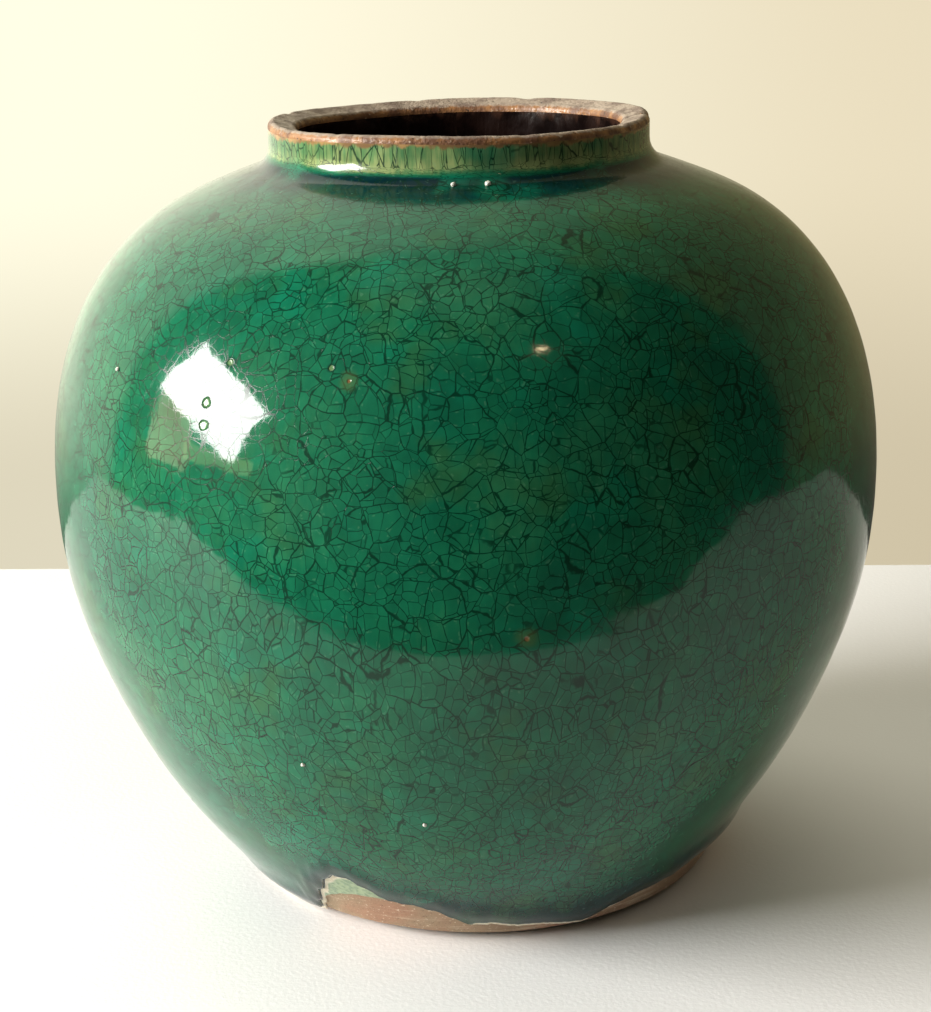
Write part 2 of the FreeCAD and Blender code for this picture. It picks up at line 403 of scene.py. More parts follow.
clay_colour = blended(bare_clay, dark_patches, clay_colour, (0.22, 0.125, 0.075, 1))
clay_relief = sums(bare_clay, "ADD", drag, sums(bare_clay, "MULTIPLY", specks, 0.6))
fired(bare_clay, clay_colour, fade(bare_clay, specks, 0.3, 0.7, 0.78, 0.92), clay_relief, 0.00022)

lower_body.data.materials.append(bare_clay)
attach(lower_body, "root")
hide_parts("lower_body")


# ---- Belly seam, upper body and neck seam -------------------------------------
# The upturned second bowl makes the shoulder. Rings of runny clay slip glue it to the
# lower bowl and to the collar. All three lie between the coats, out of sight.
luting = recipe("luting_slip_clay")
place = stir(luting, "TexCoord").outputs["Object"]
streaks = grain(luting, place, 260, 4)
damp_slip = (0.45, 0.32, 0.21, 1)
dry_slip = (0.58, 0.44, 0.31, 1)
luting_colour = blended(luting, fade(luting, streaks, 0.4, 0.6), damp_slip, dry_slip)
fired(luting, luting_colour, fade(luting, streaks, 0.3, 0.7, 0.8, 0.92), streaks, 0.0002)

for node, material in (("upper_body", bare_clay), ("belly_seam", luting), ("neck_seam", luting)):
    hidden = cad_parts[node].data
    hidden.materials.clear()
    hidden.materials.append(material)


# ---- Neck collar: the short upright neck with its rounded lip ------------------
# A ring of the same stoneware, thrown separately and set on the shoulder. Its lip is
# rolled over and dips towards the mouth, under the wash.
WASH = 0.00055
LIP_ROUND = 0.0013
LIP_DIP = 0.0010
MOUTH_ROUND = 0.0015
COLLAR_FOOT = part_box("neck_collar")[0].z


def lip_line(depth):
    """Over the lip from outside to the mouth, this far under the finished surface."""
    outer = LIP_RADIUS - min(depth * 2, COAT_DEPTH)
    inner = MOUTH_RADIUS + min(depth * 2, LINING_THICKNESS)
    top = LIP_TOP - depth
    turn = np.linspace(0, math.pi / 2, 9)
    rounding = LIP_ROUND - depth
    over = np.stack([
        outer - rounding * (1 - np.cos(turn)),
        top - rounding * (1 - np.sin(turn)),
    ], -1)
    mouth_rounding = MOUTH_ROUND - depth
    into = np.stack([
        inner + mouth_rounding * (1 - np.sin(turn)),
        top - LIP_DIP - mouth_rounding * (1 - np.cos(turn)),
    ], -1)
    across = np.linspace(over[-1], into[0], 10)[1:-1]
    return np.concatenate([over, across, into])


collar_rows = np.concatenate([
    part_of(clay_face, COLLAR_FOOT, GLAZE_TOP, 20),
    lip_line(WASH),
    part_of(clay_bowl, COLLAR_FOOT, LINING_TOP, 16)[::-1],
])
neck_collar = turned("neck_collar_clay", collar_rows)
neck_collar.data.materials.append(bare_clay)
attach(neck_collar, "root")
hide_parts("neck_collar")


# ---- Slip coat: thin white slip under the glaze --------------------------------
# White clay slip, dipped on before glazing to make the green bright. It shows as a pale
# line where the glaze ends, and stained green where a flake of glaze has come away.
# The glaze's lower edge wanders round the foot (degrees, height); the flake is at the front.
GLAZE_HEM = [
    (-180, 0.0018),
    (-150, 0.0016),
    (-134, 0.0019),
    (-131, 0.0026),
    (-128.5, 0.0060),
    (-123.5, 0.0115),
    (-119.5, 0.0168),
    (-116.5, 0.0194),
    (-113.7, 0.0194),
    (-112.6, 0.0174),
    (-110.6, 0.0163),
    (-109.3, 0.0144),
    (-107.5, 0.0134),
    (-103.5, 0.0127),
    (-99, 0.0110),
    (-96, 0.0089),
    (-93, 0.0068),
    (-89, 0.0062),
    (-81, 0.0050),
    (-69, 0.0037),
    (-60, 0.0062),
    (-54, 0.0079),
    (-46, 0.0086),
    (-37, 0.0104),
    (-20, 0.0100),
    (10, 0.0082),
    (50, 0.0068),
    (75, 0.0084),
    (110, 0.0060),
    (150, 0.0030),
]
SLIP_HEM = [
    (-131, 0.0022),
    (-129, 0.0052),
    (-125, 0.0088),
    (-120, 0.0114),
    (-115, 0.0128),
    (-110, 0.0129),
    (-107, 0.0124),
]
SLIP_SHOWS = 0.0007


def ragged(seed, coarse, fine):
    """A broken edge's small unevenness at every angle."""
    uneven = []
    for turn in turns:
        place = Vector((math.cos(turn), math.sin(turn), seed))
        uneven.append(coarse * noise.noise(place * 9) + fine * noise.noise(place * 46))
    return np.array(uneven)


glaze_hem = round_the_jar(GLAZE_HEM, np.degrees(turns)) + ragged(3.1, 0.0005, 0.00028)
glaze_hem = np.maximum(glaze_hem, 0.0009)
slip_hem = glaze_hem - SLIP_SHOWS - np.abs(ragged(7.7, 0.0003, 0.00025))
flake = (np.degrees(turns) > SLIP_HEM[0][0]) & (np.degrees(turns) < SLIP_HEM[-1][0])
flake_hem = np.interp(np.degrees(turns), *np.array(SLIP_HEM).T) + ragged(5.2, 0.0002, 0.00022)
slip_hem = np.where(flake, np.minimum(flake_hem, slip_hem), slip_hem)
slip_hem = np.maximum(slip_hem, 0.0005)


def from_hem(line, hem, first_steps, rows):
    """Rows for every angle, close together above the hem and even up to the line's end."""
    whole = lengths(line)[-1]
    start = run_at_height(line, hem)[:, None]
    close = start + np.array(first_steps)[None, :]
    even = np.linspace(0, 1, rows)[None, 1:]
    rest = close[:, -1:] + (whole - close[:, -1:]) * even
    return along_line(line, np.concatenate([close, rest], 1))


def from_hem_down(line, hem, rows):
    """Even rows for every angle, from the line's end back to the hem."""
    return from_hem(line, hem, [0.0], rows)[:, ::-1]


slip_steps = [0, 0.00015, 0.0004, 0.0008, 0.0013, 0.0019, 0.0026, 0.0034, 0.0044, 0.0056, 0.007, 0.009]
slip_outer = from_hem(slip_face, slip_hem, slip_steps, 60)
slip_inner = from_hem_down(clay_face, slip_hem - 0.0001, 60)
slip_coat = turned("white_slip_coat", np.concatenate([slip_outer, slip_inner], 1))
bare = np.zeros((SIDES, slip_outer.shape[1] + slip_inner.shape[1]))
bare[:, :slip_outer.shape[1]] = np.clip(glaze_hem[:, None] - slip_outer[..., 1], 0, 0.02)
below_glaze = slip_coat.data.attributes.new("below_glaze", "FLOAT", "POINT")
below_glaze.data.foreach_set("value", (bare * 1000).ravel())

white_slip = recipe("white_slip")
place = stir(white_slip, "TexCoord").outputs["Object"]
chalk = grain(white_slip, place, 900, 3)
fall_below = stir(white_slip, "Attribute", {"attribute_name": "below_glaze"}).outputs["Fac"]
fall_below = sums(white_slip, "ADD", fall_below, sums(white_slip, "MULTIPLY", chalk, 0.5))
chalk_white = (0.80, 0.75, 0.62, 1)
cream = (0.66, 0.58, 0.44, 1)
slip_colour = blended(white_slip, fade(white_slip, chalk, 0.35, 0.65), chalk_white, cream)
pale_stain = (0.26, 0.36, 0.20, 1)
deep_stain = (0.14, 0.24, 0.14, 1)
stain = blended(white_slip, fade(white_slip, chalk, 0.4, 0.6), pale_stain, deep_stain)
slip_colour = blended(white_slip, fade(white_slip, fall_below, 1.2, 2.0, 0, 0.92), slip_colour, stain)
fired(white_slip, slip_colour, fade(white_slip, fall_below, 1.0, 1.8, 0.75, 0.35), chalk, 0.0002)

slip_coat.data.materials.append(white_slip)
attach(slip_coat, "root")
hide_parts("slip_coat")


# ---- Outer glaze: the green crackle coat ---------------------------------------
# A glossy lead-green glaze poured over the slip. It shrinks more than the clay as it
# cools, so it crazes into a net of fine cracks, stained dark by use. It is thin and
# yellowish on the neck, pools dark under it, and gathers in a thick roll at the foot.
ROLL_HEIGHT = 0.0045
ROLL_SPREAD = 0.003
ROLL_SWELL = 0.0005
EDGE_ROUND = 0.0011
FLAKE_FROM = -117.2
FLAKE_TO = -92
hem_steps = [0, 0.00008, 0.0002, 0.0004, 0.0007, 0.0011, 0.0016, 0.0022, 0.003, 0.004, 0.0052, 0.0066]
GLAZE_ROWS = 150
glaze_outer = from_hem(glaze_face, glaze_hem, hem_steps, GLAZE_ROWS)
above_hem = np.concatenate([
    np.broadcast_to(hem_steps, (SIDES, len(hem_steps))),
    np.linspace(hem_steps[-1], 0.2, GLAZE_ROWS)[None, 1:].repeat(SIDES, 0),
], 1)

# The edge is rounded down to the slip, except where the flake broke it off square.
broken = (np.degrees(turns) > FLAKE_FROM) & (np.degrees(turns) < FLAKE_TO)
edge = np.clip(above_hem / EDGE_ROUND, 0, 1)
rounding = (1 - np.sqrt(np.clip(1 - (1 - edge) ** 2, 0, 1))) * GLAZE_THICKNESS
rounding = np.where(broken[:, None], 0, rounding)
swell = ROLL_SWELL * np.exp(-((above_hem - ROLL_HEIGHT) / ROLL_SPREAD) ** 2)
swell = np.where(broken[:, None], swell * 0.5, swell)
slope = np.gradient(glaze_outer, axis=1)
slope /= np.linalg.norm(slope, axis=2)[..., None]
outward = np.stack([slope[..., 1], -slope[..., 0]], -1)
glaze_outer = glaze_outer + (swell - rounding)[..., None] * outward
glaze_inner = from_hem_down(slip_face, glaze_hem + 0.00004, 40)
glaze_rows = np.concatenate([glaze_outer, glaze_inner], 1)
outer_glaze = turned("outer_glaze_coat", glaze_rows)

# How thick the glaze lies: 0 is the thin neck, 1 the wall and 2 the dark pools.
THIN_ABOVE = 0.1596
FULLER_ABOVE = 0.1620
POOLS_ABOVE = 0.1545
FOOT_POOL_HEIGHT = 0.0075
heights = glaze_rows[..., 1]
neck_thin = np.clip((heights - THIN_ABOVE) / 0.0011, 0, 1)
neck_fuller = 0.22 * np.clip((heights - FULLER_ABOVE) / 0.0016, 0, 1)
neck_pool = np.clip((heights - POOLS_ABOVE) / 0.0045, 0, 1) * (1 - neck_thin)

# At the foot it gathers over an evened-out hem (degrees, how deep).
evened = np.hanning(31) / np.hanning(31).sum()
all_round = np.concatenate([glaze_hem[-15:], glaze_hem, glaze_hem[:15]])
gathering = np.convolve(all_round, evened, "valid")
foot_pool = np.exp(-np.clip((heights - gathering[:, None]) / FOOT_POOL_HEIGHT, 0, 50) ** 2)
POOL_DEPTHS = [
    (-180, 0.8),
    (-122, 0.9),
    (-112, 0.7),
    (-85, 1.0),
    (-40, 0.9),
    (60, 0.6),
]
pool_depth = round_the_jar(POOL_DEPTHS, np.degrees(turns))
glaze_lies = 1 - neck_thin + neck_fuller + neck_pool + foot_pool * pool_depth[:, None]
lies = outer_glaze.data.attributes.new("glaze_lies", "FLOAT", "POINT")
lies.data.foreach_set("value", glaze_lies.ravel())
lip_gap = outer_glaze.data.attributes.new("below_lip", "FLOAT", "POINT")
lip_gap.data.foreach_set("value", ((GLAZE_TOP - heights) * 1000).ravel())

# The net of cracks in millimetres: drawn out upright on the neck, packed closer near the foot.
coords = np.empty(len(outer_glaze.data.vertices) * 3)
outer_glaze.data.vertices.foreach_get("co", coords)
coords = coords.reshape(-1, 3) * 1000
WIDEST_MM = 85
NECK_MM = 159.5
packed = 1 + 0.35 * np.clip((WIDEST_MM - coords[:, 2]) / WIDEST_MM, 0, 1)
net = coords * packed[:, None]
on_neck = np.clip(coords[:, 2] - NECK_MM, 0, None)
net[:, :2] *= (1 + 0.5 * np.clip(on_neck / 2, 0, 1))[:, None]
net[:, 2] -= on_neck * 0.6
crack_net = outer_glaze.data.attributes.new("crackle_position", "FLOAT_VECTOR", "POINT")
crack_net.data.foreach_set("vector", net.ravel())

green = recipe("green_crackle_glaze")
net_place = stir(green, "Attribute", {"attribute_name": "crackle_position"}).outputs["Vector"]
place = stir(green, "TexCoord").outputs["Object"]


def shifted(mix, place, by, amount):
    """A place moved by a random colour, centred on no move."""
    moved = stir(mix, "VectorMath", {"operation": "SUBTRACT"}, i0=by, i1=(0.5, 0.5, 0.5)).outputs[0]
    node = stir(mix, "VectorMath", {"operation": "MULTIPLY_ADD"}, i0=moved, i1=(amount,) * 3, i2=place)
    return node.outputs[0]


def cracks(mix, place, size, uneven):
    """One generation of cracks: distance to the nearest in mm, and each island's colour and middle."""
    cells = {"Vector": place, "Scale": 1 / size, "Randomness": uneven}
    edge = stir(mix, "TexVoronoi", {"feature": "DISTANCE_TO_EDGE"}, **cells)
    island = stir(mix, "TexVoronoi", {"feature": "F1"}, **cells).outputs
    return sums(mix, "MULTIPLY", edge.outputs["Distance"], size), island["Color"], island["Position"]


wander = stir(green, "TexNoise", Vector=net_place, Scale=0.07, Detail=1.0).outputs["Color"]
tremble = stir(green, "TexNoise", Vector=net_place, Scale=0.45, Detail=2.0).outputs["Color"]
bent_place = shifted(green, shifted(green, net_place, wander, 6.0), tremble, 0.5)
FIRST_CRACKS = 5.6
SECOND_CRACKS = 2.5
first_gap, first_island, _ = cracks(green, bent_place, FIRST_CRACKS, 0.9)
second_place = shifted(green, bent_place, first_island, 70.0)
second_gap, second_island, second_middle = cracks(green, second_place, SECOND_CRACKS, 0.66)

strength = grain(green, net_place, 0.11, 2)
second_share = fade(green, strength, 0.30, 0.62, 0.60, 1.0)
width_noise = grain(green, net_place, 0.6, 1)
half_width = fade(green, width_noise, 0.3, 0.7, 0.046, 0.094)


def crack_line(mix, gap, half_width, share):
    """How dark a crack is here, from its distance and its half width in mm."""
    near = sums(mix, "SUBTRACT", 1.0, fade(mix, sums(mix, "SUBTRACT", gap, half_width), -0.03, 0.07))
    return sums(mix, "MULTIPLY", near, share)


first_line = crack_line(green, first_gap, half_width, 1.0)
second_line = crack_line(green, second_gap, sums(green, "MULTIPLY", half_width, 0.8), second_share)
all_lines = sums(green, "MAXIMUM", first_line, second_line)

lies_here = stir(green, "Attribute", {"attribute_name": "glaze_lies"}).outputs["Fac"]
drift = grain(green, place, 38, 3)
fine_drift = grain(green, place, 210, 3)
runs = grain(green, drawn_out(green, place, (900, 900, 160)), 1.0, 3)
lies_here = sums(green, "ADD", lies_here, fade(green, drift, 0.3, 0.7, -0.16, 0.16))
runs_here = fade(green, lies_here, 0.9, 0.4, 0.04, 0.16)
run_down = sums(green, "MULTIPLY", fade(green, runs, 0.3, 0.7, -1, 1), runs_here)
lies_here = sums(green, "ADD", lies_here, run_down)
tones = stir(green, "ValToRGB", Fac=sums(green, "MULTIPLY", lies_here, 0.5))
ramp = tones.color_ramp
ramp.elements[0].position = 0.0
ramp.elements[0].color = (0.23, 0.29, 0.115, 1)
ramp.elements[1].position = 1.0
ramp.elements[1].color = (0.0015, 0.017, 0.021, 1)
for position, colour in (
    (0.13, (0.115, 0.21, 0.080, 1)),
    (0.30, (0.028, 0.145, 0.062, 1)),
    (0.48, (0.006, 0.110, 0.052, 1)),
    (0.62, (0.004, 0.086, 0.046, 1)),
    (0.80, (0.002, 0.032, 0.030, 1)),
):
    ramp.elements.new(position).color = colour
body_colour = tones.outputs[0]
olive = fade(green, grain(green, place, 62, 3), 0.54, 0.70, 0, 0.55)
body_colour = blended(green, olive, body_colour, (0.026, 0.096, 0.030, 1))
teal = fade(green, grain(green, place, 85, 2), 0.56, 0.72, 0, 0.6)
body_colour = blended(green, teal, body_colour, (0.003, 0.135, 0.072, 1))
island_tone = fade(green, stir(green, "SeparateColor", Color=second_island).outputs[0], 0, 1, 0.92, 1.08)
speckle = fade(green, fine_drift, 0.3, 0.7, 0.88, 1.12)
tone = sums(green, "MULTIPLY", island_tone, speckle)
tone_colour = stir(green, "CombineColor", Red=tone, Green=tone, Blue=tone).outputs[0]
body_colour = blended(green, 1.0, body_colour, tone_colour, "MULTIPLY")
# Pale green painted sheen beside the finer cracks: a painted highlight where the crack faces catch the
# light.
beside = sums(green, "MULTIPLY", fade(green, second_gap, 0.12, 0.22), fade(green, second_gap, 0.5, 0.3))
crack_sheen_patches = fade(green, grain(green, net_place, 0.9, 1), 0.60, 0.72, 0, 0.14)
painted_crack_sheen = sums(green, "MULTIPLY", beside, crack_sheen_patches)
body_colour = blended(green, painted_crack_sheen, body_colour, (0.16, 0.36, 0.22, 1))
line_share = sums(green, "MULTIPLY", all_lines, 0.88)
glaze_colour = blended(green, line_share, body_colour, (0.0008, 0.020, 0.010, 1))

below_lip = stir(green, "Attribute", {"attribute_name": "below_lip"}).outputs["Fac"]
broken_edge = fade(green, grain(green, place, 520, 4), 0.3, 0.7, -0.45, 0.45)
lip_break = sums(green, "ADD", below_lip, broken_edge)
rust = blended(green, fade(green, fine_drift, 0.4, 0.6), (0.33, 0.20, 0.080, 1), (0.19, 0.11, 0.050, 1))
glaze_colour = blended(green, fade(green, lip_break, 0.95, 0.15), glaze_colour, rust)

# Marks left by the firing (degrees, height, size in mm): burst bubbles, then iron spots.
BURST_BUBBLES = (
    (-122.2, 0.1303, 1.2),
    (-124.6, 0.1229, 1.5),
    (-124.5, 0.1190, 1.4),
    (-107.3, 0.1307, 0.7),
    (-151.2, 0.1574, 0.5),
    (38.0, 0.1180, 1.3),
    (71.0, 0.0640, 1.0),
    (155.0, 0.1360, 0.8),
)
IRON_SPOTS = (
    (-83.3, 0.0816, 0.75),
    (-104.7, 0.1287, 0.65),
    (112.0, 0.0890, 0.8),
    (10.0, 0.1050, 0.6),
)


def on_the_wall(degrees, height):
    """The place on the glaze face at this angle and height."""
    radius = float(np.interp(height, glaze_face[:, 1], glaze_face[:, 0]))
    turn = math.radians(degrees)
    return (radius * math.cos(turn), radius * math.sin(turn), height)


def away_from(mix, degrees, height):
    """Uneven distance in mm from a place on the wall."""
    spot = on_the_wall(degrees, height)
    away = stir(mix, "VectorMath", {"operation": "DISTANCE"}, i0=place, i1=spot).outputs["Value"]
    uneven = fade(mix, fine_drift, 0.3, 0.7, -0.0004, 0.0004)
    return sums(mix, "MULTIPLY", sums(mix, "ADD", away, uneven), 1000.0)


craters = 0.0
for degrees, height, size in BURST_BUBBLES:
    away = away_from(green, degrees, height)
    inside_it = fade(green, away, size, size * 0.55)
    outer_side = fade(green, away, size * 1.7, size)
    inner_side = fade(green, away, size * 0.5, size)
    rim_share = sums(green, "MULTIPLY", sums(green, "MULTIPLY", outer_side, inner_side), 0.75)
    glaze_colour = blended(green, rim_share, glaze_colour, (0.003, 0.030, 0.018, 1))
    pale_share = sums(green, "MULTIPLY", inside_it, 0.6)
    glaze_colour = blended(green, pale_share, glaze_colour, (0.16, 0.26, 0.10, 1))
    craters = sums(green, "SUBTRACT", craters, sums(green, "MULTIPLY", inside_it, 0.18))
for degrees, height, size in IRON_SPOTS:
    away = away_from(green, degrees, height)
    halo = fade(green, away, size * 4.0, size, 0, 0.35)
    glaze_colour = blended(green, halo, glaze_colour, (0.10, 0.115, 0.028, 1))
    heart = fade(green, away, size, size * 0.5, 0, 0.95)
    glaze_colour = blended(green, heart, glaze_colour, (0.17, 0.085, 0.035, 1))
    craters = sums(green, "SUBTRACT", craters, sums(green, "MULTIPLY", heart, 0.10))

# Each island between cracks lies at its own very slight tilt, over slow waves in the glaze.
minus = {"operation": "SUBTRACT"}
from_middle = stir(green, "VectorMath", minus, i0=second_place, i1=second_middle).outputs[0]
lean = shifted(green, (0, 0, 0), second_island, 1.0)
tilt = stir(green, "VectorMath", {"operation": "DOT_PRODUCT"}, i0=from_middle, i1=lean).outputs["Value"]
waves = sums(green, "MULTIPLY", grain(green, place, 75, 2), 0.16)
ripples = sums(green, "MULTIPLY", grain(green, place, 320, 2), 0.016)
slow_swells = sums(green, "ADD", waves, ripples)
glaze_height = sums(green, "ADD", sums(green, "MULTIPLY", tilt, 0.004), slow_swells)
glaze_height = sums(green, "SUBTRACT", glaze_height, sums(green, "MULTIPLY", all_lines, 0.0015))
glaze_height = sums(green, "ADD", glaze_height, craters)
rough_lines = sums(green, "MULTIPLY", all_lines, 0.10)
glaze_gloss = sums(green, "ADD", fade(green, drift, 0.3, 0.7, 0.05, 0.10), rough_lines)
fired(green, glaze_colour, glaze_gloss, glaze_height, 0.001, IOR=1.5, Specular_IOR_Level=0.31)

outer_glaze.data.materials.append(green)
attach(outer_glaze, "root")
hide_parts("outer_glaze")


# ---- Inner glaze: the brown lining ---------------------------------------------
# A very dark iron-brown glaze, poured in, swilled round and poured out, so that it
# coats floor, wall and mouth. It breaks reddish where it runs thin near the rim.
lining_floor = np.linspace((0, lining_face[0, 1]), lining_face[0], 14)[:-1]
clay_floor = np.linspace((0, clay_bowl[0, 1]), clay_bowl[0], 14)[:-1]
lining_rows = np.concatenate([
    clay_floor,
    part_of(clay_bowl, clay_bowl[0, 1], LINING_TOP, 50),
    part_of(lining_face, lining_face[0, 1], LINING_TOP, 130)[::-1],
    lining_floor[::-1],
])
inner_glaze = turned("brown_lining", lining_rows, capped=True)

brown = recipe("brown_lining_glaze")
place = stir(brown, "TexCoord").outputs["Object"]
height = stir(brown, "SeparateXYZ", Vector=place).outputs[2]
streaks = grain(brown, drawn_out(brown, place, (420, 420, 130)), 1.0, 4)
mottle = grain(brown, place, 160, 3)
near_black = (0.004, 0.0022, 0.002, 1)
dark_brown = (0.010, 0.0042, 0.003, 1)
brown_colour = blended(brown, fade(brown, mottle, 0.35, 0.7), near_black, dark_brown)
thin_top = sums(brown, "ADD", height, fade(brown, streaks, 0.3, 0.7, -0.0012, 0.0012))
thin_share = fade(brown, thin_top, 0.1635, 0.1655, 0, 0.5)
brown_colour = blended(brown, thin_share, brown_colour, (0.055, 0.024, 0.014, 1))
# Faint pinkish streaks along the runs are painted highlights: streaks of window light on the glossy
# lining.
painted_highlight_streaks = fade(brown, streaks, 0.66, 0.74, 0, 0.08)
brown_colour = blended(brown, painted_highlight_streaks, brown_colour, (0.14, 0.07, 0.045, 1))
brown_gloss = fade(brown, mottle, 0.3, 0.7, 0.10, 0.24)
fired(brown, brown_colour, brown_gloss, sums(brown, "ADD", streaks, mottle), 0.00025, IOR=1.52)

inner_glaze.data.materials.append(brown)
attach(inner_glaze, "root")
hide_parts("inner_glaze")


# ---- Lip wash: the brown iron band over the lip --------------------------------
# A thin iron wash brushed round the lip so that the pot could fire without a runny
# green edge. Use has rubbed its top to a greyish pink and nicked its outer edge.
wash_rows = np.concatenate([
    [(LIP_RADIUS, GLAZE_TOP)],
    lip_line(0.0),
    [(MOUTH_RADIUS, LINING_TOP), (MOUTH_RADIUS + LINING_THICKNESS, LINING_TOP)],
    lip_line(WASH)[::-1],
    [(LIP_RADIUS - COAT_DEPTH, GLAZE_TOP)],
])
wash_rows = np.array(np.broadcast_to(wash_rows, (SIDES,) + wash_rows.shape))
LIP_NICKS = [
    (-4, 3.0, 0.00075),
    (-152, 2.0, 0.00035),
    (-128, 1.5, 0.00020),
    (-71, 2.0, 0.00022),
    (-33, 1.6, 0.00025),
    (66, 3.0, 0.00040),
    (104, 2.2, 0.00025),
    (161, 2.6, 0.00030),
]
LIP_WEAR = 0.00013
outside_rows = len(lip_line(0.0)) + 1
middle_radius = (LIP_RADIUS + MOUTH_RADIUS) / 2
for i, turn in enumerate(turns):
    worn = 0.0
    for degrees, width, depth in LIP_NICKS:
        worn += depth * math.exp(-((math.degrees(turn) - degrees) / width) ** 2)
    for j in range(1, outside_rows):
        radius, height = wash_rows[i, j]
        spot = Vector((radius * math.cos(turn), radius * math.sin(turn), height))
        wear = LIP_WEAR * (0.5 + 0.5 * noise.fractal(spot * 320, 0.9, 2.1, 3))
        outer_edge = min(1.0, max(0.0, (radius - middle_radius) / 0.002))
        wash_rows[i, j, 1] -= wear + worn * outer_edge
        wash_rows[i, j, 0] -= worn * 0.5 * outer_edge
lip_wash = turned("iron_lip_wash", wash_rows)

iron = recipe("iron_brown_wash")
place = stir(iron, "TexCoord").outputs["Object"]
facing_up = stir(iron, "SeparateXYZ", Vector=stir(iron, "NewGeometry").outputs["Normal"]).outputs[2]
blotches = grain(iron, place, 240, 4)
pits = grain(iron, place, 1300, 2)
rust_brown = (0.32, 0.15, 0.055, 1)
deep_brown = (0.13, 0.055, 0.025, 1)
side_colour = blended(iron, fade(iron, blotches, 0.38, 0.62), rust_brown, deep_brown)
worn_pale = (0.34, 0.26, 0.195, 1)
worn_grey = (0.18, 0.125, 0.095, 1)
top_colour = blended(iron, fade(iron, blotches, 0.40, 0.66), worn_pale, worn_grey)
worn_top = sums(iron, "ADD", facing_up, fade(iron, pits, 0.3, 0.7, -0.12, 0.12))
iron_colour = blended(iron, fade(iron, worn_top, 0.55, 0.85), side_colour, top_colour)
iron_colour = blended(iron, fade(iron, pits, 0.66, 0.72, 0, 0.7), iron_colour, (0.50, 0.40, 0.28, 1))
iron_colour = blended(iron, fade(iron, pits, 0.34, 0.29, 0, 0.85), iron_colour, (0.02, 0.012, 0.008, 1))
iron_gloss = fade(iron, blotches, 0.3, 0.7, 0.34, 0.58)
fired(iron, iron_colour, iron_gloss, sums(iron, "ADD", blotches, pits), 0.00022)

lip_wash.data.materials.append(iron)
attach(lip_wash, "root")
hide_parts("lip_wash")


# ---- Grit specks: grains of kiln grit in the glaze -----------------------------
# Crumbs of fired clay that fell from the kiln roof and the props, and stuck half sunk
# in the molten glaze (degrees, height, size).
KILN_GRIT = [
    (-91.8, 0.1586, 0.00055),
    (-82.7, 0.1586, 0.00070),
    (-143.6, 0.1252, 0.00045),
    (-113.5, 0.0519, 0.00045),
    (-97.2, 0.0389, 0.00045),
]
grit = bmesh.new()
for degrees, height, size in KILN_GRIT:
    centre = Vector(on_the_wall(degrees, height))
    moved_out = Matrix.Translation(centre)
    crumb = bmesh.ops.create_icosphere(grit, subdivisions=3, radius=size, matrix=moved_out)
    for vertex in crumb["verts"]:
        out = vertex.co - centre
        vertex.co = centre + out * (0.86 + 0.28 * noise.fractal(vertex.co * 2600, 0.8, 2.2, 3))
grit_mesh = bpy.data.meshes.new("grit_grains")
grit.to_mesh(grit_mesh)
grit.free()
grit_mesh.shade_smooth()
grit_specks = bpy.data.objects.new("kiln_grit_grains", grit_mesh)
bpy.context.scene.collection.objects.link(grit_specks)

crumbs = recipe("kiln_grit_crumb")
place = stir(crumbs, "TexCoord").outputs["Object"]
crumb_grain = grain(crumbs, place, 3500, 3)
bone_white = (0.80, 0.79, 0.72, 1)
dusty = (0.55, 0.53, 0.44, 1)
crumb_colour = blended(crumbs, fade(crumbs, crumb_grain, 0.35, 0.65), bone_white, dusty)
fired(crumbs, crumb_colour, fade(crumbs, crumb_grain, 0.3, 0.7, 0.35, 0.6), crumb_grain, 0.0001)
grit_specks.data.materials.append(crumbs)
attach(grit_specks, "root")
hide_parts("grit_specks")


# ---- Table: the pale surface that the jar stands on ----------------------------
# A matt white painted board with softened edges. Its back edge is a little askew, and
# its front edge is just past where the jar is looked at from.
TABLE_FRONT = -0.208
TABLE_BACK_LEFT = 0.236
TABLE_BACK_RIGHT = 0.168
TABLE_HALF_WIDTH = 0.62
TABLE_THICKNESS = 0.03
board = bmesh.new()
outline = [
    (-TABLE_HALF_WIDTH, TABLE_FRONT),
    (TABLE_HALF_WIDTH, TABLE_FRONT),
    (TABLE_HALF_WIDTH, TABLE_BACK_RIGHT),
    (-TABLE_HALF_WIDTH, TABLE_BACK_LEFT),
]
lower = [board.verts.new((x, y, -TABLE_THICKNESS)) for x, y in outline]
upper = [board.verts.new((x, y, 0)) for x, y in outline]
board.faces.new(lower[::-1])
board.faces.new(upper)
for i in range(4):
    j = (i + 1) % 4
    board.faces.new([lower[i], lower[j], upper[j], upper[i]])
board_mesh = bpy.data.meshes.new("table_board")
board.to_mesh(board_mesh)
board.free()
table = bpy.data.objects.new("table_board", board_mesh)
bpy.context.scene.collection.objects.link(table)
softened = table.modifiers.new("softened_edges", "BEVEL")
softened.width = 0.003
softened.segments = 3

paint = recipe("matt_white_paint")
place = stir(paint, "TexCoord").outputs["Object"]
brushed = grain(paint, place, 9, 3)
fine_tooth = grain(paint, place, 900, 2)
fresh_white = (0.86, 0.855, 0.86, 1)
aged_white = (0.82, 0.815, 0.815, 1)
paint_colour = blended(paint, fade(paint, brushed, 0.3, 0.7), fresh_white, aged_white)
fired(paint, paint_colour, fade(paint, brushed, 0.3, 0.7, 0.55, 0.68), fine_tooth, 0.00006)
table.data.materials.append(paint)


